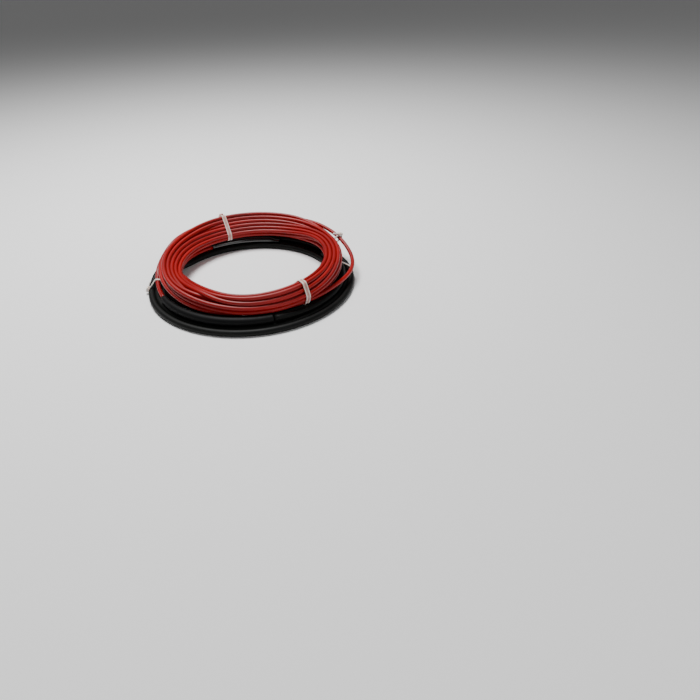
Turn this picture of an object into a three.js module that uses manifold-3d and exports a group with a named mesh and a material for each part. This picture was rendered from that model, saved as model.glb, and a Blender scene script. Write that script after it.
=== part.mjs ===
// Electric underfloor heating cable, coiled for delivery: a thin red twin-core heating cable
// lies on the coil of its thicker black cold lead. A shrink sleeve joins the two cables,
// a shrink cap seals the far end, and nylon ties hold the turns together.
// Millimetres, +Z up. Angles are in degrees, counted from +X about the cold lead's axis,
// or about the heating coil's axis where a name says heating or loose.
import * as THREE from 'three';
import { mergeVertices } from 'three/addons/utils/BufferGeometryUtils.js';
import Module from 'manifold-3d';

const wasm = await Module();
wasm.setup();

// Cables
const heatingDiameter = 4.6;
const leadDiameter = 7;
const footDip = 0.25; // the lowest turns are flattened this much by the floor
const footWidth = 1.6;

// Cold lead coil: one flat layer of turns, with two more turns in the grooves on top of it
const leadTurnCount = 4;
const leadInnerTurnRadius = 92; // axis of the innermost turn of the flat layer
const innerTurnStart = 176;
const innerTurnEnd = 385;
const upperTurnEnd = 508; // of the turn that runs on from the sleeve

// Heating cable coil, which lies a little off the cold lead's centre: the turns in each
// layer, lowest first, as [first slot, turns], a slot being one cable diameter wide
const heatingLayers = [[0, 4], [0.5, 4], [1, 4], [1.5, 3], [2, 2], [2.5, 2]];
const heatingInset = 6; // from the cold lead's innermost turn to the heating cable's, in radius
const heatingOffset = [3.5, 7.3];

// Clearances
const gap = 0.3; // between two pieces that touch on the real object
const tieSlack = 0.4; // between a tie's band and the turns that it holds

// Splice sleeve, on top of the cold lead coil beside its upper inner turn
const sleeveDiameter = 9.2;
const sleeveStart = 201;
const sleeveEnd = 278;

// End seal, in line with the cold lead's upper inner turn
const sealDiameter = 7.2;
const sealStart = 66;
const sealEnd = 118;
const sealTipLength = 9;
const sealTipThickness = 2.2;
const tailEnd = 134; // of the heating cable's stretch from the seal up to its coil

// Nylon ties: the head is [along the band, across it, height]
const wideTie = { width: 4.8, thickness: 1, head: [7, 7.4, 4.6], tail: 4 };
const slimTie = { width: 2.6, thickness: 0.8, head: [5, 4.8, 3.6], tail: 7 };
const heatingTieAngles = { back: 108, front: 297 };
const leadTieAngles = { left: 180, right: 0 };

// Loose outer turn of the heating cable: [heating angle, outwards from the coil's outermost
// turn, upwards from its lowest turns] of its axis
const looseTurnPoints = [
  [46, 4.9, 15.8],
  [38, 5.1, 15],
  [29, 5.7, 12.8],
  [18, 7, 9.6],
  [8, 8.9, 4.2],
  [0, 9.9, 0.8],
  [-8, 9.5, -1.2],
  [-16, 7.7, -1.8],
  [-24, 5.4, -1.6],
  [-32, 2.7, -1.1],
  [-40, 0.8, -0.7],
  [-53, -0.1, -0.4],
];
const looseTieIndex = 3; // the loose turn's point that a slim tie holds

// Stretch of the heating cable that comes down into the splice sleeve: [degrees before the
// sleeve's start, outwards from the sleeve's axis, upwards from it]
const feedPoints = [
  [43, 4.9, 13.8],
  [35, 4.9, 10],
  [28, 4, 5.2],
  [21, 2.7, 1.6],
  [13, 1.1, 0.3],
  [0.2, 0, 0],
];
const feedTieIndex = 3; // the point that the left tie holds

// Facets
const ringSegments = 40;
const cableSides = 8;
const sleeveSides = 12;
const discSides = 20; // corners of a round edge that a tie's band follows
const sleeveSteps = 14;
const sealSteps = 12;
const innerTurnSteps = 40;
const upperTurnSteps = 36;
const looseSteps = 34;
const feedSteps = 18;
const tailSteps = 8;

const materials = {
  heating: { color: 0xc8201c, roughness: 0.35 },
  lead: { color: 0x1a1b1c, roughness: 0.5 },
  shrink: { color: 0x0f1011, roughness: 0.3 },
  nylon: { color: 0xe8e4da, roughness: 0.4 },
};

const heatingRadius = heatingDiameter / 2;
const leadRadius = leadDiameter / 2;
const layerPitch = Math.sqrt(3) / 2; // of a close-packed stack, in diameters
const leadAxisHeight = leadRadius - footDip; // of the flat layer
const innerGroove = leadInnerTurnRadius + leadRadius; // between the flat layer's first two turns
const outerTurnRadius = innerGroove + 1.5 * leadDiameter; // axis of the flat layer's third turn
const upperTurnRadius = innerGroove + (leadDiameter + sealDiameter) / 2 + gap;
const sleeveArcRadius = innerGroove + (leadDiameter + sleeveDiameter) / 2 + gap;
const heatingInnerTurnRadius = leadInnerTurnRadius - heatingInset;

// Height at which a cable or sleeve lies clear of the flat layer's turn at the given sideways distance
function seatHeight(diameter, sideways) {
  return leadAxisHeight + Math.sqrt((leadRadius + diameter / 2 + gap) ** 2 - sideways ** 2);
}

const innerTurnHeight = seatHeight(leadDiameter, leadRadius);
const upperTurnHeight = seatHeight(leadDiameter, outerTurnRadius - upperTurnRadius);
const sealHeight = seatHeight(sealDiameter, leadRadius);
const sleeveHeight = seatHeight(sleeveDiameter, outerTurnRadius - sleeveArcRadius);
const leadTop = Math.max(upperTurnHeight + leadRadius, sealHeight + sealDiameter / 2);
const heatingBottom = leadTop + gap + wideTie.thickness + tieSlack;

function polar([angle, radius, height], [centreX, centreY] = [0, 0]) {
  const turn = THREE.MathUtils.degToRad(angle);
  return new THREE.Vector3(centreX + radius * Math.cos(turn), centreY + radius * Math.sin(turn), height);
}

// Solids from meshes and back
function toSolid(geometry) {
  const bare = geometry.index ? geometry.toNonIndexed() : geometry.clone();
  bare.deleteAttribute('normal');
  bare.deleteAttribute('uv');
  const merged = mergeVertices(bare, 1e-4);
  const vertProperties = new Float32Array(merged.attributes.position.array);
  const triVerts = new Uint32Array(merged.index.array);
  return new wasm.Manifold(new wasm.Mesh({ numProp: 3, vertProperties, triVerts }));
}

function toGeometry(solid) {
  const { vertProperties, triVerts } = solid.getMesh();
  const geometry = new THREE.BufferGeometry();
  geometry.setAttribute('position', new THREE.BufferAttribute(new Float32Array(vertProperties), 3));
  geometry.setIndex(new THREE.BufferAttribute(new Uint32Array(triVerts), 1));
  return geometry;
}

// Axes of a coil's turns in its section: x is the radius, y the height
function coilTurns(layers, diameter, innerRadius, bottom) {
  return layers.flatMap(([first, turns], layer) => Array.from({ length: turns }, (_, i) => ({
    x: innerRadius + (first + i) * diameter,
    y: bottom + diameter * (0.5 + layer * layerPitch),
    radius: diameter / 2,
  })));
}

// Outline of a stack of touching turns, each of which is a hexagon that has its corners midway
// between the directions of its neighbours. The walk runs round a turn's free corners, then
// crosses to the next turn.
function stackOutline(turns) {
  const around = (turn, angle, distance) => {
    const direction = THREE.MathUtils.degToRad(angle);
    return new THREE.Vector2(turn.x + distance * Math.cos(direction), turn.y + distance * Math.sin(direction));
  };
  const neighbour = (turn, angle) => {
    const place = around(turn, angle, 2 * turn.radius);
    return turns.find((other) => Math.hypot(other.x - place.x, other.y - place.y) < turn.radius / 4);
  };
  const step = 60; // from one neighbour's direction to the next, in degrees
  const firstCorner = 180 + step / 2;
  const outline = [];
  let turn = turns[0];
  let corner = firstCorner;
  do {
    outline.push(around(turn, corner, turn.radius));
    const next = neighbour(turn, corner + step / 2);
    corner = (corner + (next ? 180 + step : step)) % 360;
    if (next) turn = next;
  } while (turn !== turns[0] || corner !== firstCorner);
  return outline;
}

function ringSolid(outline) {
  const profile = [...outline, outline[0]];
  const ring = new THREE.LatheGeometry(profile, ringSegments);
  ring.rotateX(Math.PI / 2);
  return toSolid(ring);
}

// Round cable or sleeve along a list of points, or along an arc round the coil's axis
function tube(points, diameter, sides, steps) {
  const section = new THREE.Shape();
  for (let i = 0; i < sides; i += 1) {
    const angle = (2 * Math.PI * (i + 0.5)) / sides;
    const place = [Math.cos(angle), Math.sin(angle)].map((value) => (value * diameter) / 2);
    if (i === 0) section.moveTo(...place);
    else section.lineTo(...place);
  }
  section.closePath();
  const extrudePath = new THREE.CatmullRomCurve3(points, false, 'centripetal');
  return new THREE.ExtrudeGeometry(section, { steps, extrudePath, bevelEnabled: false });
}

function arcPoints(start, end, radius, height, spacing = 10) {
  const count = Math.ceil((end - start) / spacing);
  return Array.from({ length: count + 1 }, (_, i) => polar([start + ((end - start) * i) / count, radius, height]));
}

// Corners of a band pulled tight round discs {x, y, radius}, grown by a margin and kept above a floor
function tightLoop(discs, margin, floor = -Infinity) {
  const corners = discs.flatMap((disc) => Array.from({ length: discSides }, (_, i) => {
    const angle = (2 * Math.PI * i) / discSides;
    const reach = disc.radius + margin;
    return new THREE.Vector2(disc.x + reach * Math.cos(angle), Math.max(floor, disc.y + reach * Math.sin(angle)));
  }));
  corners.sort((a, b) => a.x - b.x || a.y - b.y);
  const halfHull = (places) => {
    const hull = [];
    for (const place of places) {
      while (hull.length > 1) {
        const [a, b] = hull.slice(-2);
        const turn = (b.x - a.x) * (place.y - a.y) - (b.y - a.y) * (place.x - a.x);
        if (turn > 1e-6) break;
        hull.pop();
      }
      hull.push(place);
    }
    return hull.slice(0, -1);
  };
  return [...halfHull(corners), ...halfHull([...corners].reverse())];
}

// Tie in its own plane: x is outwards from the coil's axis, y is up, z along the turns.
// Its head sits on the band where the band faces headAngle, and the cut tail stands
// past the head on the given side.
function tieSolid(tie, discs, headAngle, tailSide, floor) {
  const { width, thickness, head, tail } = tie;
  const inner = tightLoop(discs, tieSlack, floor + thickness);
  const band = new THREE.Shape(tightLoop(discs, tieSlack + thickness, floor));
  band.holes.push(new THREE.Path(inner));
  const loop = new THREE.ExtrudeGeometry(band, { depth: width, bevelEnabled: false });
  loop.translate(0, 0, -width / 2);
  const turn = THREE.MathUtils.degToRad(headAngle);
  const facing = new THREE.Vector2(Math.cos(turn), Math.sin(turn));
  const seat = inner.reduce((a, b) => (b.dot(facing) > a.dot(facing) ? b : a));
  const place = new THREE.Matrix4().makeRotationZ(turn - Math.PI / 2).setPosition(seat.x, seat.y, 0);
  const [length, across, height] = head;
  const block = new THREE.BoxGeometry(length, height, across).translate(0, height / 2, 0);
  const stub = new THREE.BoxGeometry(tail, thickness, width);
  stub.translate(tailSide * ((length + tail) / 2 - gap), height / 2, 0);
  return toSolid(loop).add(toSolid(block.applyMatrix4(place))).add(toSolid(stub.applyMatrix4(place)));
}

// Turns a tie from its own plane to its angle round a coil
function tieAt(angle, solid) {
  const geometry = toGeometry(solid);
  geometry.rotateX(Math.PI / 2);
  geometry.rotateZ(THREE.MathUtils.degToRad(angle));
  return geometry;
}

function discAt([, x, y], radius) {
  return { x, y, radius };
}

const kit = new THREE.Group();
const leadGroup = new THREE.Group();
const heatingGroup = new THREE.Group();
heatingGroup.position.set(...heatingOffset, 0);
kit.add(leadGroup, heatingGroup);

function addPiece(group, name, geometry, material) {
  const mesh = new THREE.Mesh(geometry, new THREE.MeshStandardMaterial(materials[material]));
  mesh.name = name;
  group.add(mesh);
}

// Cold lead coil: the flat layer, with a flat foot and a notch under each tie
const leadTurns = coilTurns([[0, leadTurnCount]], leadDiameter, leadInnerTurnRadius, -footDip);
const leadOutline = stackOutline(leadTurns).flatMap((place) => (
  place.y > 0 ? [place] : [-0.5, 0.5].map((side) => new THREE.Vector2(place.x + side * footWidth, 0))
));
const notchHeight = 2 * gap + slimTie.thickness + tieSlack;
const notchLength = (leadTurnCount + 1) * leadDiameter;
const leadCoil = Object.values(leadTieAngles).reduce((coil, angle) => {
  const notch = new THREE.BoxGeometry(notchLength, slimTie.width + 2 * gap, 2 * notchHeight);
  notch.translate(leadInnerTurnRadius + ((leadTurnCount - 1) * leadDiameter) / 2, 0, 0);
  notch.rotateZ(THREE.MathUtils.degToRad(angle));
  return coil.subtract(toSolid(notch));
}, ringSolid(leadOutline));
addPiece(leadGroup, 'cold_lead_coil', toGeometry(leadCoil), 'lead');

// Cold lead turn in the inner groove, which leaves room for the end seal
const innerTurnPath = arcPoints(innerTurnStart, innerTurnEnd, innerGroove, innerTurnHeight);
addPiece(leadGroup, 'cold_lead_inner_turn', tube(innerTurnPath, leadDiameter, cableSides, innerTurnSteps), 'lead');

// Cold lead turn from the sleeve round to the other side
const endGapAngle = THREE.MathUtils.radToDeg((2 * gap) / innerGroove);
const upperTurnStart = sleeveEnd + endGapAngle;
const upperTurnPath = [
  polar([upperTurnStart, sleeveArcRadius, sleeveHeight]),
  polar([upperTurnStart + 3, sleeveArcRadius, sleeveHeight]),
  polar([upperTurnStart + 8, (sleeveArcRadius + upperTurnRadius) / 2, (sleeveHeight + upperTurnHeight) / 2]),
  ...arcPoints(upperTurnStart + 13, upperTurnEnd, upperTurnRadius, upperTurnHeight, 12),
];
addPiece(leadGroup, 'cold_lead_upper_turn', tube(upperTurnPath, leadDiameter, cableSides, upperTurnSteps), 'lead');

// Splice sleeve between the cold lead and the heating cable
const sleevePath = arcPoints(sleeveStart, sleeveEnd, sleeveArcRadius, sleeveHeight);
addPiece(leadGroup, 'splice_sleeve', tube(sleevePath, sleeveDiameter, sleeveSides, sleeveSteps), 'shrink');

// Heating cable: its coil, its loose outer turn and the stretch that feeds the sleeve
const heatingTurns = coilTurns(heatingLayers, heatingDiameter, heatingInnerTurnRadius, heatingBottom);
addPiece(heatingGroup, 'heating_cable_coil', toGeometry(ringSolid(stackOutline(heatingTurns))), 'heating');
const outermostTurn = Math.max(...heatingTurns.map((turn) => turn.x));
const looseAxis = looseTurnPoints.map(([angle, out, up]) => [angle, outermostTurn + out, heatingTurns[0].y + up]);
const loosePath = looseAxis.map((point) => polar(point));
addPiece(heatingGroup, 'heating_cable_loose_turn', tube(loosePath, heatingDiameter, cableSides, looseSteps), 'heating');
const feedAxis = feedPoints.map(([angle, out, up]) => [sleeveStart - angle, sleeveArcRadius + out, sleeveHeight + up]);
const feedPath = feedAxis.map((point) => polar(point));
addPiece(leadGroup, 'heating_cable_feed', tube(feedPath, heatingDiameter, cableSides, feedSteps), 'heating');

// End seal of the heating cable, its tip crimped flat
const sealPath = arcPoints(sealStart, sealEnd, innerGroove, sealHeight);
const sealTip = new THREE.BoxGeometry(sealDiameter, 2 * sealTipLength, sealTipThickness);
sealTip.translate(innerGroove, 0, sealHeight);
sealTip.rotateZ(THREE.MathUtils.degToRad(sealStart));
const seal = toSolid(tube(sealPath, sealDiameter, sleeveSides, sealSteps)).add(toSolid(sealTip));
addPiece(leadGroup, 'end_seal', toGeometry(seal), 'shrink');

// Heating cable from the seal up to the underside of its coil
const tailStart = sealEnd + endGapAngle;
const tailTop = heatingBottom - gap - heatingRadius;
const tailPath = [0, 0.3, 0.7, 1].map((share) => {
  const height = sealHeight + (tailTop - sealHeight) * share ** 2;
  return polar([tailStart + (tailEnd - tailStart) * share, innerGroove, height]);
});
addPiece(leadGroup, 'heating_cable_tail', tube(tailPath, heatingDiameter, cableSides, tailSteps), 'heating');

// Nylon ties
const looseTurnDisc = discAt(looseAxis[looseTieIndex], heatingRadius);
const feedDisc = discAt(feedAxis[feedTieIndex], heatingRadius);
const innerTurnDisc = { x: innerGroove, y: innerTurnHeight, radius: leadRadius };
const upperTurnDisc = { x: upperTurnRadius, y: upperTurnHeight, radius: leadRadius };
const heatingTieBack = tieSolid(wideTie, heatingTurns, 28, 1, 0);
const heatingTieFront = tieSolid(wideTie, heatingTurns, 200, 1, 0);
const leadTieLeft = tieSolid(slimTie, [...leadTurns, innerTurnDisc, feedDisc], 25, -1, gap);
const leadTieRight = tieSolid(slimTie, [...leadTurns, innerTurnDisc, upperTurnDisc], 165, 1, gap);
const looseTie = tieSolid(slimTie, [looseTurnDisc], 60, -1, 0);
addPiece(heatingGroup, 'cable_tie_heating_back', tieAt(heatingTieAngles.back, heatingTieBack), 'nylon');
addPiece(heatingGroup, 'cable_tie_heating_front', tieAt(heatingTieAngles.front, heatingTieFront), 'nylon');
addPiece(leadGroup, 'cable_tie_lead_left', tieAt(leadTieAngles.left, leadTieLeft), 'nylon');
addPiece(leadGroup, 'cable_tie_lead_right', tieAt(leadTieAngles.right, leadTieRight), 'nylon');
addPiece(heatingGroup, 'cable_tie_loose_turn', tieAt(looseTurnPoints[looseTieIndex][0], looseTie), 'nylon');

// The origin is under the middle of the kit's box
const middle = new THREE.Box3().setFromObject(kit).getCenter(new THREE.Vector3());
kit.position.set(-middle.x, -middle.y, 0);

export default kit;
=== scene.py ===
import math
import bmesh
import bpy
import numpy as np
from mathutils import Matrix, Vector, noise


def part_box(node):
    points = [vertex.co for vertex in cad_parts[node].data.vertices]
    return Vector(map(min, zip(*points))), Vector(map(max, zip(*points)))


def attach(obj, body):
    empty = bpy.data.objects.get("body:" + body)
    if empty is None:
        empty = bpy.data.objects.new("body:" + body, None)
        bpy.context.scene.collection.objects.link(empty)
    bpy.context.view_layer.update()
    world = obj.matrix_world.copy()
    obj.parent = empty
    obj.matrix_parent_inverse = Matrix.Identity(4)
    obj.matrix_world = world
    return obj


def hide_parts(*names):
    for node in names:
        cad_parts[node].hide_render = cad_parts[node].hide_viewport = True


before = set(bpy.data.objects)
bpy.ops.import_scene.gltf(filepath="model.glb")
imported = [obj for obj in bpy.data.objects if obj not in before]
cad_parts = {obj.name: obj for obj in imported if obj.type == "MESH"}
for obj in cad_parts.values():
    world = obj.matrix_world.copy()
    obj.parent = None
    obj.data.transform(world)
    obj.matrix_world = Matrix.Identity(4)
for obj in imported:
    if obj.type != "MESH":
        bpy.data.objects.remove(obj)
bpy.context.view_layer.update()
mm = 0.001

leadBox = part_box("cold_lead_coil")
leadCentre = np.array([(leadBox[0][k] + leadBox[1][k]) / 2 / mm for k in (0, 1)])


# Camera: the photo's own place and angle, measured from the cold lead's axis on the floor
cameraView = {
    "place": (-0.7, -582.8, 307.7),  # mm
    "ahead": (0.1551, 0.8000, -0.5797),
    "up": (0.1262, 0.5659, 0.8147),
    "lens": 28.46,  # mm
    "sensor": 36.0,  # mm
    "nearest": 0.01,  # m, nothing nearer is drawn
}


def addCamera(view):
    camera = bpy.data.cameras.new("camera")
    camera.lens = view["lens"]
    camera.sensor_width = view["sensor"]
    camera.clip_start = view["nearest"]
    holder = bpy.data.objects.new("camera", camera)
    back = -Vector(view["ahead"]).normalized()
    right = Vector(view["up"]).cross(back).normalized()
    up = back.cross(right)
    turn = Matrix((right, up, back)).transposed()
    x, y, z = view["place"]
    place = Vector((x + leadCentre[0], y + leadCentre[1], z)) * mm
    holder.matrix_world = Matrix.Translation(place) @ turn.to_4x4()
    bpy.context.collection.objects.link(holder)
    bpy.context.scene.camera = holder


addCamera(cameraView)


# Small helpers for paths, all in millimetres and degrees
def ease(share):
    share = min(1, max(0, share))
    return share * share * (3 - 2 * share)


def between(keys, at):
    # keys: rows of (position, value, value, ...), joined by a smooth line through all of them
    rows = np.array(keys, float)
    spots = rows[:, 0]
    at = min(spots[-1], max(spots[0], at))
    i = int(min(len(spots) - 2, max(0, np.searchsorted(spots, at) - 1)))
    span = spots[i + 1] - spots[i]
    share = (at - spots[i]) / span

    def slope(k):
        low, high = max(0, k - 1), min(len(spots) - 1, k + 1)
        return (rows[high, 1:] - rows[low, 1:]) / (spots[high] - spots[low])

    t2, t3 = share ** 2, share ** 3
    return (
        (2 * t3 - 3 * t2 + 1) * rows[i, 1:] + (t3 - 2 * t2 + share) * span * slope(i)
        + (3 * t2 - 2 * t3) * rows[i + 1, 1:] + (t3 - t2) * span * slope(i + 1)
    )


def polar(angle, radius, height, centre):
    turn = math.radians(angle)
    x = centre[0] + radius * math.cos(turn)
    y = centre[1] + radius * math.sin(turn)
    return Vector((x, y, height)) * mm


def relaxed(rows, passes):
    # rounds off the small steps of a path that is worked out point by point
    rows = np.array(rows, float)
    for _ in range(passes):
        rows[1:-1, 1:] = (rows[:-2, 1:] + 2 * rows[1:-1, 1:] + rows[2:, 1:]) / 4
    return rows


# Cold lead: out of the splice sleeve, round in the outer groove, down on the floor as the
# outermost of four flat turns, inwards turn by turn, and up into the inner groove
coldLead = {
    "diameter": 7.0,  # mm
    "innerTurn": 92.0,  # mm, axis of the innermost flat turn
    "flatTurns": 4,
    "sleeveEnd": 278.4,  # degrees
    "sleeveArc": 103.9,  # mm
    "sleeveHeight": 11.4,  # mm
    "straightOn": 3.0,  # degrees that it keeps to the sleeve's line
    "leaveOver": 10.0,  # degrees in which it then moves to its groove
    "upperTurn": 102.9,  # mm
    "shiftStart": 138.0,  # degrees, where each turn begins to move one place inwards
    "shiftEnd": 174.0,
    "lastAngle": 384.0,  # degrees, where the cut end lies
    "swell": (138.0, 48.0, 3.0),  # degrees, degrees, mm: the ring bulges at its back left
    "flattened": 0.1,  # mm, how far the turns on the floor give
    "smoothings": 3,
    "step": 3.0,  # degrees between points
}


def swellAt(angle):
    # how far the cold lead's ring stands out from a true circle
    middle, width, reach = coldLead["swell"]
    away = (angle - middle + 180) % 360 - 180
    return reach * math.exp(-(away / width) ** 2)


def coldLeadRows(lead):
    d = lead["diameter"]
    low = d / 2 - lead["flattened"]
    turns = lead["flatTurns"]
    outer = lead["innerTurn"] + d * (turns - 1)
    span = lead["shiftEnd"] - lead["shiftStart"]

    def restingHeight(radius, share):
        # of a cable that lies on the flat turns, which have moved inwards by this share
        height = low
        for k in range(turns - 1 if share > 0 else turns):
            across = abs(radius - (outer - d * (k + share)))
            if across < d:
                height = max(height, low + math.sqrt(d * d - across * across))
        return height

    rows = []
    angle = lead["sleeveEnd"]
    descent = lead["shiftStart"] + 360
    settled = restingHeight(lead["upperTurn"], 0)
    while angle < descent:
        leave = ease((angle - lead["sleeveEnd"] - lead["straightOn"]) / lead["leaveOver"])
        radius = lead["sleeveArc"] + (lead["upperTurn"] - lead["sleeveArc"]) * leave
        height = lead["sleeveHeight"] + (settled - lead["sleeveHeight"]) * leave
        rows.append((angle, radius, height))
        angle += lead["step"]
    while angle < descent + span:
        share = ease((angle - descent) / span)
        radius = lead["upperTurn"] + (outer - lead["upperTurn"]) * share
        moved = max(share, 0.001)  # never 0, because the flat turns are already on the move
        rows.append((angle, radius, restingHeight(radius, moved)))
        angle += lead["step"]
    for k in range(turns):
        leaving = lead["shiftStart"] + 360 * (k + 2)
        while angle < leaving:
            rows.append((angle, outer - d * k, low))
            angle += lead["step"]
        while angle < leaving + span:
            share = ease((angle - leaving) / span)
            if k < turns - 1:
                rows.append((angle, outer - d * (k + share), low))
            else:
                # the innermost turn climbs its neighbour, from beside it (180 degrees) up into
                # the groove (60 degrees)
                lean = math.radians(180 - 120 * share)
                neighbour = lead["innerTurn"] + d * (1 - share)
                rows.append((angle, neighbour + d * math.cos(lean), low + d * math.sin(lean)))
            angle += lead["step"]
    stop = lead["lastAngle"] + 360 * (turns + 1)
    grooveHeight = low + d * math.sqrt(0.75)
    while angle < stop:
        rows.append((angle, lead["innerTurn"] + d / 2, grooveHeight))
        angle += lead["step"]
    return relaxed(rows, lead["smoothings"])


leadPoints = [polar(a, r + swellAt(a), z, leadCentre) for a, r, z in coldLeadRows(coldLead)]
print("cold lead:", len(leadPoints), "points")


# Heating cable: its turns lie close-packed, in a section that leans and changes round the
# coil. Each place is (mm along the section's long way, mm across it), in winding order, and
# the turns then push each other apart and smooth themselves as real turns do.
turnPlaces = {
    "left": [
        (13.8, 2), (11.5, -2), (6.9, -2), (4.6, -6), (-2.3, -2), (-6.9, -2), (-9.2, 2), (-4.6, 2),
        (0, -6), (2.3, -2), (0, 2), (6.9, 6), (11.5, 6), (9.2, 2), (4.6, 2), (2.3, 6), (-2.3, 6),
        (-6.9, 6), (-11.5, 6),
    ],
    "back": [
        (11.5, 0), (13.8, -4), (9.2, -4), (4.6, -4), (-4.6, -4), (-9.2, -4), (-11.5, 0), (-6.9, 0),
        (0, -4), (2.3, 0), (-2.3, 0), (9.2, 4), (13.8, 4), (6.9, 0), (4.6, 4), (0, 4), (-4.6, 4),
        (-9.2, 4), (-13.8, 4),
    ],
    "right": [
        (9.2, 0), (6.9, -4), (4.6, -8), (2.3, -4), (-2.3, -4), (-9.2, 0), (-6.9, 4), (-4.6, 0),
        (0, -8), (0, 0), (-2.3, 4), (4.6, 8), (6.9, 4), (4.6, 0), (2.3, 4), (0, 8), (-4.6, 8),
        (-9.2, 8), (-11.5, 4),
    ],
    "front": [
        (9.2, 0), (6.9, -4), (4.6, -8), (2.3, -4), (-4.6, -8), (-6.9, -4), (-4.6, 0), (-2.3, -4),
        (0, -8), (0, 0), (-2.3, 4), (4.6, 8), (6.9, 4), (4.6, 0), (2.3, 4), (0, 8), (-4.6, 8),
        (-6.9, 4), (-9.2, 0),
    ],
}
heatingCable = {
    "diameter": 4.6,  # mm
    "centre": (3.5, 7.3),  # mm, from the cold lead's axis
    "meanRadius": 95.0,  # mm
    "step": 3.0,  # degrees between points
    "turns": 18,
    "first": 159.0,  # degrees, where its first turn leaves the feed
    "last": 189.0,  # where its last turn becomes the tail
    "crossStart": 262.0,  # degrees, where each turn begins to move to the next place
    "crossEnd": 196.0,
    "lowest": 12.5,  # mm, axis of a turn that hangs beside the cold lead
    "section": [  # angle, centre's radius and height, lean, stretch out and up, places
        (-15.0, 91.6, 23.8, 0.0, 1.0, 1.05, "right"),
        (18.0, 92.4, 24.8, 6.0, 1.0, 1.05, "right"),
        (62.0, 95.0, 26.4, 40.0, 1.0, 1.0, "back"),
        (107.0, 96.0, 27.2, 50.0, 1.0, 1.0, "back"),
        (150.0, 94.4, 24.6, 46.0, 1.0, 1.0, "left"),
        (185.0, 93.8, 23.2, 40.0, 1.02, 1.0, "left"),
        (225.0, 94.2, 22.6, -8.0, 1.0, 1.0, "left"),
        (250.0, 96.4, 21.0, -54.0, 1.05, 1.14, "front"),
        (268.0, 96.8, 21.0, -60.0, 1.05, 1.18, "front"),
        (298.0, 96.2, 23.8, -60.0, 1.02, 1.42, "front"),
        (345.0, 91.6, 23.8, 0.0, 1.0, 1.05, "right"),
        (378.0, 92.4, 24.8, 6.0, 1.0, 1.05, "right"),
    ],
    "wander": 0.5,  # mm, how far each turn strays from its place
    "wanderSeed": 1,
    "wanderNoise": (0.045, 3.7, 0.5),  # its step for a point and for a turn, and its third place
    "onSleeve": (199.0, 280.0),  # degrees about the cold lead's axis, where it lies on the sleeve
    "smoothings": 7,
    "feed": [  # angle, radius and height about the cold lead's axis, up from the sleeve
        (-200.6, 103.9, 11.4),
        (-188.0, 105.0, 11.7),
        (-180.0, 106.6, 13.0),
        (-173.0, 107.9, 16.6),
        (-166.0, 108.8, 21.4),
        (-158.0, 108.6, 25.2),
    ],
    "loose": [  # minus the angle about the coil's own axis, radius, height
        (-46.0, 109.3, 33.2),
        (-38.0, 109.5, 32.4),
        (-29.0, 110.1, 30.2),
        (-18.0, 111.4, 27.0),
        (-8.0, 113.3, 21.6),
        (0.0, 114.3, 18.2),
        (8.0, 113.9, 16.2),
        (16.0, 112.1, 15.6),
        (24.0, 109.8, 15.8),
        (32.0, 107.1, 16.3),
        (40.0, 105.2, 16.7),
        (53.0, 104.3, 17.0),
    ],
    "tail": [  # minus the angle about the cold lead's axis, radius, height, down to the seal
        (-183.0, 79.6, 18.8),
        (-172.0, 79.8, 18.0),
        (-160.0, 82.6, 16.2),
        (-148.0, 87.4, 13.6),
        (-136.0, 92.4, 11.2),
        (-126.0, 95.2, 10.0),
        (-118.3, 95.5, 9.8),
    ],
}


# How the turns settle, round by round
settling = {
    "rounds": 260,
    "freeRounds": 40,  # the last ones, without the pull towards the places
    "pull": 0.06,  # of the way back to its place
    "straighten": 0.3,  # of the way to the middle of its neighbours along the cable
    "pushes": 2,
    "push": 0.45,  # of the overlap of two turns
    "room": 1.01,  # diameters from axis to axis
    "supports": [  # radius and height of what lies below, reach from axis to axis, all in mm
        (92.0, 3.4, 5.8, "everywhere"),
        (95.5, 9.66, 5.8, "everywhere"),
        (113.0, 3.4, 5.8, "everywhere"),
        (102.9, 9.86, 5.8, "off the sleeve"),
        (103.9, 11.4, 6.9, "on the sleeve"),
    ],
    "away": (1e6, 1e5),  # mm, puts the unused end of the table of turns out of the way
}


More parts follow.
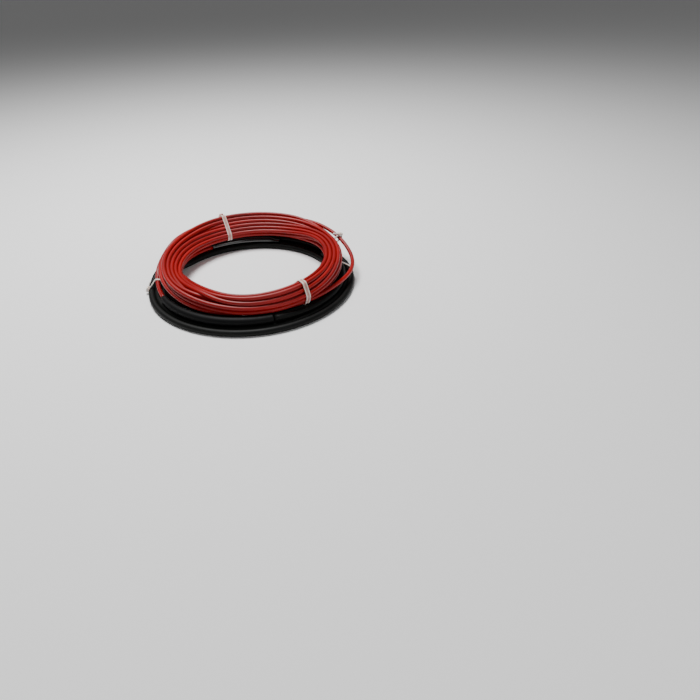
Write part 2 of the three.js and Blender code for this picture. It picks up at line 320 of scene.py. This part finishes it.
def heatingRows(cable, settling):
    noise.seed_set(cable["wanderSeed"])  # without it the noise starts from the clock
    d = cable["diameter"]
    step = cable["step"]
    perTurn = round(360 / step)
    section = cable["section"]
    places = np.array([turnPlaces[row[6]] for row in section])
    count = round((cable["first"] + cable["turns"] * 360 - cable["last"]) / step)
    angles = cable["first"] - step * np.arange(count)
    target = np.zeros((count, 2))
    crossSpan = cable["crossStart"] - cable["crossEnd"]
    pointStep, turnStep, third = cable["wanderNoise"]
    for n, angle in enumerate(angles):
        gone = (cable["crossStart"] - 360 - angle) / 360
        whole = math.floor(gone)
        label = max(0, whole + min(1, (gone - whole) * 360 / crossSpan))
        base = int(min(cable["turns"] - 1, math.floor(label)))
        share = ease(label - base)
        at = (angle - section[0][0]) % 360 + section[0][0]
        radius, height, lean, wide, tall = between([row[:6] for row in section], at)
        k = max(i for i, row in enumerate(section[:-1]) if row[0] <= at)
        blend = ease((at - section[k][0]) / (section[k + 1][0] - section[k][0]))
        spots = places[k] * (1 - blend) + places[k + 1] * blend
        u, v = spots[base] * (1 - share) + spots[base + 1] * share
        turn = math.radians(lean)
        spot = Vector((n * pointStep, whole * turnStep, third))
        stray = noise.noise_vector(spot) * cable["wander"]
        target[n] = (
            radius + (u * math.cos(turn) - v * math.sin(turn)) * wide + stray[0],
            height + (u * math.sin(turn) + v * math.cos(turn)) * tall + stray[1],
        )
    # the loose strand is part of the first turn, and stays where it was measured
    fixed = np.zeros(count, bool)
    loose = cable["loose"]
    for n in range(perTurn):
        if loose[0][0] <= -angles[n] <= loose[-1][0]:
            target[n] = between(loose, -angles[n])
            fixed[n] = True
    turned = np.radians(angles)
    flat = np.column_stack([np.cos(turned), np.sin(turned)])
    offset = np.array(cable["centre"])
    aboutLead = flat * cable["meanRadius"] + offset
    leadAngle = np.degrees(np.arctan2(*aboutLead.T[::-1])) % 360
    sleeveFrom, sleeveTo = cable["onSleeve"]
    onSleeve = (leadAngle > sleeveFrom) & (leadAngle < sleeveTo)
    where = {
        "everywhere": np.ones(count, bool), "off the sleeve": ~onSleeve, "on the sleeve": onSleeve,
    }
    away, awayStep = settling["away"]
    tableTurns = cable["turns"] + 1
    place = target.copy()
    for k in range(settling["rounds"]):
        if k < settling["rounds"] - settling["freeRounds"]:
            place += settling["pull"] * (target - place)
        middle = (place[:-2] + place[2:]) / 2
        place[1:-1] += settling["straighten"] * (middle - place[1:-1])
        for _ in range(settling["pushes"]):
            padded = np.full((perTurn * tableTurns, 2), away)
            padded[:count] = place
            padded[count:, 0] += awayStep * np.arange(len(padded) - count)
            grid = padded.reshape(tableTurns, perTurn, 2)
            apart = grid[:, None] - grid[None, :]
            distance = np.sqrt((apart ** 2).sum(-1)) + 1e-9
            push = np.clip(d * settling["room"] - distance, 0, None) / distance
            push[np.arange(tableTurns), np.arange(tableTurns)] = 0
            moved = grid + settling["push"] * (push[..., None] * apart).sum(1)
            place = moved.reshape(-1, 2)[:count]
            # rests on the cold lead, and on the thicker sleeve where that is below it
            across = np.sqrt(((flat * place[:, :1] + offset) ** 2).sum(1))
            base = np.full(count, cable["lowest"])
            for turnRadius, turnHeight, reach, label in settling["supports"]:
                side = np.clip(reach ** 2 - (across - turnRadius) ** 2, 0, None)
                top = np.where(where[label] & (side > 0), turnHeight + np.sqrt(side), 0)
                base = np.maximum(base, top)
            place[:, 1] = np.maximum(place[:, 1], base)
            place[fixed] = target[fixed]
    return np.column_stack([angles, place])


heatingCentre = leadCentre + np.array(heatingCable["centre"])
coilRows = heatingRows(heatingCable, settling)


def heatingCablePoints(cable):
    feed, tail, step = cable["feed"], cable["tail"], cable["step"]
    feedAngles = np.arange(feed[0][0], feed[-1][0] - step, step)
    points = [polar(-a, *between(feed, a), leadCentre) for a in feedAngles]
    points += [polar(*row, heatingCentre) for row in coilRows]
    tailAngles = np.append(np.arange(tail[0][0], tail[-1][0], step), tail[-1][0])
    for a in tailAngles:
        radius, height = between(tail, a)
        points.append(polar(-a, radius + swellAt(-a), height, leadCentre))
    places = np.array(points)
    for _ in range(cable["smoothings"]):
        places[1:-1] = (places[:-2] + 2 * places[1:-1] + places[2:]) / 4
    return [Vector(p) for p in places]


heatingPoints = heatingCablePoints(heatingCable)
print("heating cable:", len(heatingPoints), "points")


mapDiameter = 5.0  # mm, the UV map is as wide as a tube of this size is round


def tubeMesh(name, points, size, sides=16):
    # closed tube along points, with a UV map in millimetres: u along, v around.
    # size: a diameter, or rows of (mm along, width, height) for one that changes
    mesh = bpy.data.meshes.new(name)
    build = bmesh.new()
    uvLayer = build.loops.layers.uv.new("cable")
    travelled = [0.0]
    for a, b in zip(points, points[1:]):
        travelled.append(travelled[-1] + (b - a).length / mm)
    rings = []
    for i, point in enumerate(points):
        ahead = (points[min(i + 1, len(points) - 1)] - points[max(i - 1, 0)]).normalized()
        side = ahead.cross(Vector((0, 0, 1))).normalized()
        top = side.cross(ahead).normalized()
        wide = high = size
        if not isinstance(size, float):
            at, wides, highs = zip(*size)
            wide, high = np.interp(travelled[i], at, wides), np.interp(travelled[i], at, highs)
        ring = []
        for k in range(sides):
            turn = 2 * math.pi * k / sides
            reach = side * (math.cos(turn) * wide) + top * (math.sin(turn) * high)
            ring.append(build.verts.new(point + reach * 0.5 * mm))
        rings.append(ring)
    around = math.pi * mapDiameter / sides
    for i in range(len(rings) - 1):
        for k in range(sides):
            n = (k + 1) % sides
            face = build.faces.new((rings[i][k], rings[i][n], rings[i + 1][n], rings[i + 1][k]))
            face.smooth = True
            corners = ((i, k), (i, k + 1), (i + 1, k + 1), (i + 1, k))
            for loop, (along, turned) in zip(face.loops, corners):
                loop[uvLayer].uv = (travelled[along], turned * around)
    build.faces.new(list(reversed(rings[0])))
    build.faces.new(rings[-1])
    bmesh.ops.recalc_face_normals(build, faces=build.faces)
    build.to_mesh(mesh)
    build.free()
    piece = bpy.data.objects.new(name, mesh)
    bpy.context.collection.objects.link(piece)
    return piece


# Materials
def linear(code):
    # sRGB hex to linear RGBA
    parts = [int(code[i:i + 2], 16) / 255 for i in (1, 3, 5)]
    return tuple(c / 12.92 if c <= 0.04045 else ((c + 0.055) / 1.055) ** 2.4 for c in parts) + (1,)


def addNode(tree, kind, settings, links):
    # settings: a property, an unlinked input or a colour ramp's stops, by name
    # links: this node's input -> (other node, its output)
    node = tree.nodes.new(kind)
    for key, value in settings.items():
        if key == "stops":
            for stop, (place, colour) in zip(node.color_ramp.elements, value):
                stop.position, stop.color = place, linear(colour)
        elif hasattr(node, key):
            setattr(node, key, value)
        else:
            node.inputs[key].default_value = value
    for key, (other, output) in links.items():
        tree.links.new(other.outputs[output], node.inputs[key])
    return node


def newMaterial(name):
    material = bpy.data.materials.new(name)
    material.use_nodes = True
    return material, material.node_tree, material.node_tree.nodes["Principled BSDF"]


surfaceColours = {
    "redDeep": "#780002",
    "red": "#9a0204",
    "black": "#080908",
    "blackDusty": "#131412",
    "shrink": "#060607",
    "seal": "#040405",
    "nylon": ("#dccfc6", "#f1e7de"),
    "nylonGroovePaintedRedGlow": ("#b9857c", "#cfa49b"),  # pink painted in for the red light that comes through the thin web from the cable below
}


def redPvcJacket(look):
    # extruded soft PVC: smooth and glossy, with faint lines from the die and slow waves in its
    # tone along the cable. The map is in mm, so a scale is 1 / mm.
    material, tree, shader = newMaterial("redExtrudedPvc")
    uv = addNode(tree, "ShaderNodeUVMap", {"uv_map": "cable"}, {})
    # waves 83 mm long, 10 mm round the cable
    slow = addNode(tree, "ShaderNodeMapping", {"Scale": (0.012, 0.1, 1)}, {"Vector": (uv, "UV")})
    tone = addNode(
        tree, "ShaderNodeTexNoise", {"Scale": 1.0, "Detail": 2.0}, {"Vector": (slow, "Vector")},
    )
    colour = addNode(
        tree, "ShaderNodeValToRGB", {"stops": ((0.35, look["redDeep"]), (0.65, look["red"]))},
        {"Fac": (tone, "Fac")},
    )
    tree.links.new(colour.outputs["Color"], shader.inputs["Base Color"])
    # die lines 20 mm long, 0.45 mm apart
    lines = addNode(tree, "ShaderNodeMapping", {"Scale": (0.05, 2.2, 1)}, {"Vector": (uv, "UV")})
    die = addNode(
        tree, "ShaderNodeTexNoise", {"Scale": 1.0, "Detail": 3.0}, {"Vector": (lines, "Vector")},
    )
    rough = addNode(
        tree, "ShaderNodeMapRange", {"To Min": 0.34, "To Max": 0.5}, {"Value": (die, "Fac")},
    )
    tree.links.new(rough.outputs["Result"], shader.inputs["Roughness"])
    bump = addNode(
        tree, "ShaderNodeBump", {"Strength": 0.15, "Distance": 0.0002}, {"Height": (die, "Fac")},
    )
    tree.links.new(bump.outputs["Normal"], shader.inputs["Normal"])
    shader.inputs["IOR"].default_value = 1.5
    shader.inputs["Specular IOR Level"].default_value = 0.32
    return material


def blackJacket(look):
    # extruded soft PVC with a satin skin: dusty where it is handled, finely matt
    material, tree, shader = newMaterial("blackSatinPvc")
    uv = addNode(tree, "ShaderNodeUVMap", {"uv_map": "cable"}, {})
    # dust in patches 33 mm long, 6 mm wide
    slow = addNode(tree, "ShaderNodeMapping", {"Scale": (0.03, 0.16, 1)}, {"Vector": (uv, "UV")})
    dust = addNode(
        tree, "ShaderNodeTexNoise", {"Scale": 1.0, "Detail": 5.0}, {"Vector": (slow, "Vector")},
    )
    colour = addNode(
        tree, "ShaderNodeValToRGB", {"stops": ((0.42, look["black"]), (0.72, look["blackDusty"]))},
        {"Fac": (dust, "Fac")},
    )
    tree.links.new(colour.outputs["Color"], shader.inputs["Base Color"])
    # die lines 11 mm long, 0.6 mm apart
    lines = addNode(tree, "ShaderNodeMapping", {"Scale": (0.09, 1.6, 1)}, {"Vector": (uv, "UV")})
    die = addNode(
        tree, "ShaderNodeTexNoise", {"Scale": 1.0, "Detail": 4.0}, {"Vector": (lines, "Vector")},
    )
    rough = addNode(
        tree, "ShaderNodeMapRange", {"To Min": 0.46, "To Max": 0.66}, {"Value": (dust, "Fac")},
    )
    tree.links.new(rough.outputs["Result"], shader.inputs["Roughness"])
    bump = addNode(
        tree, "ShaderNodeBump", {"Strength": 0.25, "Distance": 0.0002}, {"Height": (die, "Fac")},
    )
    tree.links.new(bump.outputs["Normal"], shader.inputs["Normal"])
    shader.inputs["IOR"].default_value = 1.5
    shader.inputs["Specular IOR Level"].default_value = 0.16
    return material


def shrinkTube(name, colour, low, high, gloss):
    # heat-shrunk polyolefin: drawn tight, with faint ridges around it from the heating
    material, tree, shader = newMaterial(name)
    uv = addNode(tree, "ShaderNodeUVMap", {"uv_map": "cable"}, {})
    # ridges 2 mm apart, 12 mm round the tube
    rings = addNode(tree, "ShaderNodeMapping", {"Scale": (0.5, 0.08, 1)}, {"Vector": (uv, "UV")})
    ridges = addNode(
        tree, "ShaderNodeTexNoise", {"Scale": 1.0, "Detail": 3.0}, {"Vector": (rings, "Vector")},
    )
    rough = addNode(
        tree, "ShaderNodeMapRange", {"To Min": low, "To Max": high}, {"Value": (ridges, "Fac")},
    )
    tree.links.new(rough.outputs["Result"], shader.inputs["Roughness"])
    bump = addNode(
        tree, "ShaderNodeBump", {"Strength": 0.35, "Distance": 0.0004}, {"Height": (ridges, "Fac")},
    )
    tree.links.new(bump.outputs["Normal"], shader.inputs["Normal"])
    shader.inputs["Base Color"].default_value = linear(colour)
    shader.inputs["Specular IOR Level"].default_value = gloss
    return material


def naturalNylon(name, colours):
    # moulded nylon 6.6: milky, lets a little light through, smooth with a soft gloss. Between its
    # ribs the band is thin; for it, colours with a pink painted in for the red light that comes
    # through from the cable below are passed in.
    material, tree, shader = newMaterial(name)
    place = addNode(tree, "ShaderNodeTexCoord", {}, {})
    cloud = addNode(
        tree, "ShaderNodeTexNoise", {"Scale": 1 / (6.25 * mm), "Detail": 2.0},
        {"Vector": (place, "Object")},
    )
    colour = addNode(
        tree, "ShaderNodeValToRGB", {"stops": ((0.3, colours[0]), (0.7, colours[1]))},
        {"Fac": (cloud, "Fac")},
    )
    tree.links.new(colour.outputs["Color"], shader.inputs["Base Color"])
    rough = addNode(
        tree, "ShaderNodeMapRange", {"To Min": 0.28, "To Max": 0.42}, {"Value": (cloud, "Fac")},
    )
    tree.links.new(rough.outputs["Result"], shader.inputs["Roughness"])
    shader.inputs["Subsurface Weight"].default_value = 0.25
    shader.inputs["Subsurface Radius"].default_value = (0.002, 0.0015, 0.001)
    return material


redMaterial = redPvcJacket(surfaceColours)
blackMaterial = blackJacket(surfaceColours)
sleeveMaterial = shrinkTube("blackShrinkTube", surfaceColours["shrink"], 0.5, 0.68, 0.14)
sealMaterial = shrinkTube("glossyShrinkCap", surfaceColours["seal"], 0.08, 0.18, 0.8)
nylonMaterial = naturalNylon("naturalNylon", surfaceColours["nylon"])
# the web between the ribs: nylon with a painted pink for the red cable's light coming through it
groovePaintedRedGlowMaterial = naturalNylon("thinNylonPaintedRedGlow", surfaceColours["nylonGroovePaintedRedGlow"])
print("materials made")


# Pieces
def finish(piece, material, slot, *nodes):
    # a tie's band already has its materials
    if not piece.data.materials:
        piece.data.materials.append(material)
    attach(piece, "root")
    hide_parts(*nodes)


heatingPiece = tubeMesh("heating_cable", heatingPoints, heatingCable["diameter"])
finish(
    heatingPiece, redMaterial, "heating_cable_jacket", "heating_cable_coil",
    "heating_cable_loose_turn", "heating_cable_feed", "heating_cable_tail",
)
leadPiece = tubeMesh("cold_lead", leadPoints, coldLead["diameter"], 20)
finish(
    leadPiece, blackMaterial, "cold_lead_jacket", "cold_lead_coil", "cold_lead_inner_turn",
    "cold_lead_upper_turn",
)

# Splice sleeve: shrunk over the joint, so it swells over the joint and steps down at both ends
sleeve = {
    "start": 200.8,  # degrees
    "end": 278.2,
    "arc": 103.9,  # mm
    "height": 11.4,
    "profile": [  # mm along, diameter
        (0, 6.2), (0.5, 7.4), (1.5, 8.1), (10, 8.3), (18, 8.9), (30, 9.2), (104, 9.2),
        (116, 8.8), (126, 8.6), (138.6, 8.7), (139.6, 8.4), (140.2, 7.6),
    ],
}
arcStep = 0.5  # degrees
arcOver = 0.01  # degrees past the end, so that the end is in
sleeveTurns = np.arange(sleeve["start"], sleeve["end"] + arcOver, arcStep)
sleevePoints = [polar(a, sleeve["arc"], sleeve["height"], leadCentre) for a in sleeveTurns]
sleevePiece = tubeMesh(
    "splice_sleeve_tube", sleevePoints, [(at, wide, wide) for at, wide in sleeve["profile"]], 24,
)
finish(sleevePiece, sleeveMaterial, "shrink_tube", "splice_sleeve")

# End seal: shrink cap with adhesive, its far end pressed flat
endSeal = {
    "start": 118.4,  # degrees
    "end": 65.8,
    "arc": 95.5,  # mm
    "height": 9.8,
    "profile": [  # mm along, width, height
        (0, 5.4, 5.4), (0.6, 6.4, 6.4), (2, 6.8, 6.8), (12, 7.2, 7.0), (30, 7.0, 6.9),
        (60, 7.2, 7.0), (72, 7.1, 6.9), (76, 6.9, 6.4), (79, 7.0, 4.4), (82, 7.3, 2.6),
        (87, 7.4, 2.2), (87.6, 7.0, 1.6),
    ],
}
sealTurns = np.arange(endSeal["start"], endSeal["end"] - arcOver, -arcStep)
sealPoints = [
    polar(a, endSeal["arc"] + swellAt(a), endSeal["height"], leadCentre) for a in sealTurns
]
sealPiece = tubeMesh("end_seal_cap", sealPoints, endSeal["profile"], 24)
finish(sealPiece, sealMaterial, "shrink_tube", "end_seal")


# Ties: a ribbed band round the real turns at its place, with its head and the cut tail
tieSizes = {  # mm, but the web is a share of the thickness
    "wide": {
        "width": 4.8, "thickness": 1.1, "rib": 1.0, "web": 0.5, "head": (6.4, 6.6, 3.2),
        "tail": 3.0, "slack": 0.15,
    },
    "slim": {
        "width": 2.6, "thickness": 0.8, "rib": 0.5, "web": 0.7, "head": (5.0, 4.8, 3.4),
        "tail": 7.0, "slack": 0.15,
    },
}
tieEdges = {  # mm, how the head and the tail stand on the band and how their tops are bevelled
    "headLift": 0.1,
    "headBevel": 0.5,
    "tailLift": 0.5,
    "tailTop": 0.9,
    "tailBevel": 0.15,
    "bevelDepth": 0.5,
}
ties = {  # degrees about the heating cable's axis, and the side of the loop that the head is on
    "tie_back": {
        "at": 108, "headAngle": 35, "size": "wide", "looseOnly": False,
        "node": "cable_tie_heating_back",
    },
    "tie_front": {
        "at": -63, "headAngle": 200, "size": "wide", "looseOnly": False,
        "node": "cable_tie_heating_front",
    },
    "tie_loose": {  # holds the loose strand and the turn next to it
        "at": 18, "headAngle": 80, "size": "slim", "looseOnly": True,
        "node": "cable_tie_loose_turn",
    },
}
circleSides = 48
loopPoints = 96


def hullOf(circles, slack):
    # outline round a set of circles (r, z, radius), anticlockwise, with an even spacing
    turns = np.linspace(0, 2 * math.pi, circleSides, endpoint=False)
    cloud = [
        (r + (size + slack) * math.cos(t), z + (size + slack) * math.sin(t))
        for r, z, size in circles for t in turns
    ]
    cloud = sorted(set((round(x, 4), round(y, 4)) for x, y in cloud))

    def half(points):
        chain = []
        for q in points:
            while len(chain) > 1:
                (ax, ay), (bx, by) = chain[-2], chain[-1]
                if (bx - ax) * (q[1] - ay) - (by - ay) * (q[0] - ax) > 0:
                    break
                chain.pop()
            chain.append(q)
        return chain

    corners = np.array(half(cloud)[:-1] + half(cloud[::-1])[:-1])
    closed = np.vstack([corners, corners[:1]])
    along = np.concatenate([[0], np.cumsum(np.hypot(*np.diff(closed, axis=0).T))])
    even = np.linspace(0, along[-1], loopPoints + 1)[:-1]
    return np.column_stack([np.interp(even, along, column) for column in closed.T])


def bandTree(name):
    # sweeps a thin web with a rib at each edge along a closed loop of edges
    tree = bpy.data.node_groups.new(name, "GeometryNodeTree")
    face = tree.interface
    face.new_socket("Loop", in_out="INPUT", socket_type="NodeSocketGeometry")
    for label in ("Width", "Thickness", "Rib width", "Web share"):
        face.new_socket(label, in_out="INPUT", socket_type="NodeSocketFloat")
    for label in ("Rib material", "Web material"):
        face.new_socket(label, in_out="INPUT", socket_type="NodeSocketMaterial")
    face.new_socket("Band", in_out="OUTPUT", socket_type="NodeSocketGeometry")
    given = addNode(tree, "NodeGroupInput", {}, {})
    path = addNode(tree, "GeometryNodeMeshToCurve", {}, {"Mesh": (given, "Loop")})
    outward = addNode(
        tree, "GeometryNodeInputNamedAttribute",
        {"data_type": "FLOAT_VECTOR", "Name": "outward"}, {},
    )
    path = addNode(
        tree, "GeometryNodeSetCurveNormal", {"mode": "FREE"},
        {"Curve": (path, "Curve"), "Normal": (outward, "Attribute")},
    )

    def feed(socket, value):
        if isinstance(value, (int, float)):
            socket.default_value = value
        else:
            tree.links.new(value, socket)

    def worked(operation, first, second):
        node = addNode(tree, "ShaderNodeMath", {"operation": operation}, {})
        feed(node.inputs[0], first)
        feed(node.inputs[1], second)
        return node.outputs["Value"]

    width, thick = given.outputs["Width"], given.outputs["Thickness"]
    rib, share = given.outputs["Rib width"], given.outputs["Web share"]
    webWidth = worked("SUBTRACT", width, rib)
    edge = worked("MULTIPLY", webWidth, 0.5)
    strips = (  # how far aside, how high, how wide, its material
        (edge, thick, rib, "Rib material"),
        (worked("MULTIPLY", edge, -1), thick, rib, "Rib material"),
        (0, worked("MULTIPLY", thick, share), webWidth, "Web material"),
    )
    whole = addNode(tree, "GeometryNodeJoinGeometry", {}, {})
    for aside, high, wide, look in strips:
        outline = addNode(
            tree, "GeometryNodeCurvePrimitiveQuadrilateral", {"mode": "RECTANGLE"}, {},
        )
        feed(outline.inputs["Width"], high)
        feed(outline.inputs["Height"], wide)
        spot = addNode(tree, "ShaderNodeCombineXYZ", {}, {})
        feed(spot.inputs["X"], worked("MULTIPLY", high, 0.5))
        feed(spot.inputs["Y"], aside)
        outline = addNode(
            tree, "GeometryNodeTransform", {},
            {"Geometry": (outline, "Curve"), "Translation": (spot, "Vector")},
        )
        swept = addNode(
            tree, "GeometryNodeCurveToMesh", {},
            {"Curve": (path, "Curve"), "Profile Curve": (outline, "Geometry")},
        )
        dressed = addNode(
            tree, "GeometryNodeSetMaterial", {},
            {"Geometry": (swept, "Mesh"), "Material": (given, look)},
        )
        tree.links.new(dressed.outputs["Geometry"], whole.inputs["Geometry"])
    real = addNode(tree, "GeometryNodeRealizeInstances", {}, {"Geometry": (whole, "Geometry")})
    addNode(tree, "NodeGroupOutput", {}, {"Band": (real, "Geometry")})
    return tree


tieBands = bandTree("tieBand")


def bandMesh(name, corners, normals, size, webMaterial):
    # runs the tree on a loop of edges, given with the way out at each corner
    mesh = bpy.data.meshes.new(name + "_loop")
    count = len(corners)
    mesh.from_pydata(corners, [(i, (i + 1) % count) for i in range(count)], [])
    outward = mesh.attributes.new("outward", "FLOAT_VECTOR", "POINT")
    outward.data.foreach_set("vector", [c for n in normals for c in n])
    holder = bpy.data.objects.new(name + "_loop", mesh)
    bpy.context.collection.objects.link(holder)
    modifier = holder.modifiers.new("band", "NODES")
    modifier.node_group = tieBands
    values = {
        "Width": size["width"] * mm, "Thickness": size["thickness"] * mm,
        "Rib width": size["rib"] * mm, "Web share": size["web"],
        "Rib material": nylonMaterial, "Web material": webMaterial,
    }
    for item in tieBands.interface.items_tree:
        if item.in_out == "INPUT" and item.name in values:
            modifier[item.identifier] = values[item.name]
    bpy.context.view_layer.update()
    seen = holder.evaluated_get(bpy.context.evaluated_depsgraph_get())
    band = bpy.data.meshes.new_from_object(seen)
    bpy.data.objects.remove(holder)
    return band


def tieAround(name, centre, azimuth, circles, size, headAngle, webMaterial):
    # band, head and tail in one mesh; loop: the band's inner line, as (radius, height) in mm
    loop = hullOf(circles, size["slack"])
    count = len(loop)
    width, thick = size["width"], size["thickness"]
    turn = math.radians(azimuth)
    outward = Vector((math.cos(turn), math.sin(turn), 0))
    across = Vector((-math.sin(turn), math.cos(turn), 0))
    origin = Vector((centre[0], centre[1], 0)) * mm

    def place(r, z, side):
        return origin + (outward * r + Vector((0, 0, z)) + across * side) * mm

    middle = loop.mean(0)
    normals = []
    for i in range(count):
        d = loop[(i + 1) % count] - loop[i - 1]
        n = np.array([d[1], -d[0]])
        normals.append(n / np.hypot(*n))
    mesh = bandMesh(
        name, [place(r, z, 0) for r, z in loop],
        [outward * n[0] + Vector((0, 0, n[1])) for n in normals], size, webMaterial,
    )
    mesh.name = name
    build = bmesh.new()
    build.from_mesh(mesh)
    # head, on the loop's point that lies towards headAngle
    way = np.array([math.cos(math.radians(headAngle)), math.sin(math.radians(headAngle))])
    at = int(np.argmax((loop - middle) @ way))
    normal = normals[at]
    along = np.array([-normal[1], normal[0]])
    headLong, headWide, headHigh = size["head"]

    def block(low, high, lift, top, wide, bevel):
        # a box on the band: from low to high along it, from lift to top above it
        corners = []
        shoulder = top - tieEdges["bevelDepth"]
        for height, shrink in ((lift, 0), (shoulder, 0), (top, bevel)):
            for u, v in ((low, -1), (high, -1), (high, 1), (low, 1)):
                inset = shrink if u == low else -shrink
                r, z = loop[at] + along * (u + inset) + normal * height
                corners.append(build.verts.new(place(r, z, v * (wide / 2 - shrink))))
        for level in (0, 4):
            for k in range(4):
                n = (k + 1) % 4
                up = level + 4
                build.faces.new([corners[c] for c in (level + k, level + n, up + n, up + k)])
        build.faces.new(corners[3::-1])
        build.faces.new(corners[8:])

    half = headLong / 2
    block(-half, half, tieEdges["headLift"], headHigh, headWide, tieEdges["headBevel"])
    block(
        half, half + size["tail"], thick + tieEdges["tailLift"], thick * 2 + tieEdges["tailTop"],
        width, tieEdges["tailBevel"],
    )
    bmesh.ops.recalc_face_normals(build, faces=build.faces)
    build.to_mesh(mesh)
    build.free()
    piece = bpy.data.objects.new(name, mesh)
    bpy.context.collection.objects.link(piece)
    return piece


def turnsAt(azimuth, rows, radius):
    # the circles of a cable's turns at an azimuth about its own axis
    circles = []
    for (a, r, z), (b, s, w) in zip(rows, rows[1:]):
        share = (azimuth - a) / (b - a) % (360 / abs(b - a))
        if share < 1:
            circles.append((r + (s - r) * share, z + (w - z) * share, radius))
    return circles


for name, tie in ties.items():
    circles = turnsAt(tie["at"], coilRows, heatingCable["diameter"] / 2)
    # the web of a tie on the coil gets the pink painted in for the red light of the cable below
    web = groovePaintedRedGlowMaterial
    if tie["looseOnly"]:
        spot = between(heatingCable["loose"], -tie["at"])
        circles = sorted(circles, key=lambda circle: math.dist(circle[:2], spot))[:2]
        web = nylonMaterial
    piece = tieAround(
        name, heatingCentre, tie["at"], circles, tieSizes[tie["size"]], tie["headAngle"], web,
    )
    finish(piece, nylonMaterial, "nylon", tie["node"])

# the two ties round the cold lead keep their own shape
for name in ("cable_tie_lead_left", "cable_tie_lead_right"):
    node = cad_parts[name]
    node.data.materials.clear()
    node.data.materials.append(nylonMaterial)
print("ties made")

# Floor and light: a plain pale floor under a large soft lamp
studio = {
    "floor": "#f4f4f4",
    "floorSize": 40.0,  # m
    "floorRoughness": 0.8,
    "air": 0.14,  # strength of the even light from all round
    "lamps": [  # name, place (m), size (m), power (W)
        ("overhead", (-0.15, 0.35, 1.1), 0.5, 24),
        ("front", (0.5, -1.2, 0.9), 0.8, 4),
    ],
}


def addStage(studio):
    half = studio["floorSize"] / 2
    mesh = bpy.data.meshes.new("floor")
    corners = [(-half, -half, 0), (half, -half, 0), (half, half, 0), (-half, half, 0)]
    mesh.from_pydata(corners, [], [(0, 1, 2, 3)])
    plate = bpy.data.objects.new("floor", mesh)
    material, _, shader = newMaterial("palePaper")  # matt, so that only soft shadows show
    shader.inputs["Base Color"].default_value = linear(studio["floor"])
    shader.inputs["Roughness"].default_value = studio["floorRoughness"]
    plate.data.materials.append(material)
    bpy.context.collection.objects.link(plate)
    world = bpy.data.worlds.new("studio")
    world.use_nodes = True
    sky = world.node_tree.nodes["Background"]
    sky.inputs["Color"].default_value = (1, 1, 1, 1)
    sky.inputs["Strength"].default_value = studio["air"]
    bpy.context.scene.world = world
    for name, place, size, power in studio["lamps"]:
        lamp = bpy.data.lights.new(name, "AREA")
        lamp.size = size
        lamp.energy = power
        holder = bpy.data.objects.new(name, lamp)
        holder.location = place
        holder.rotation_euler = (-Vector(place)).to_track_quat("-Z", "Y").to_euler()
        bpy.context.collection.objects.link(holder)


addStage(studio)
print("floor and lamps added")
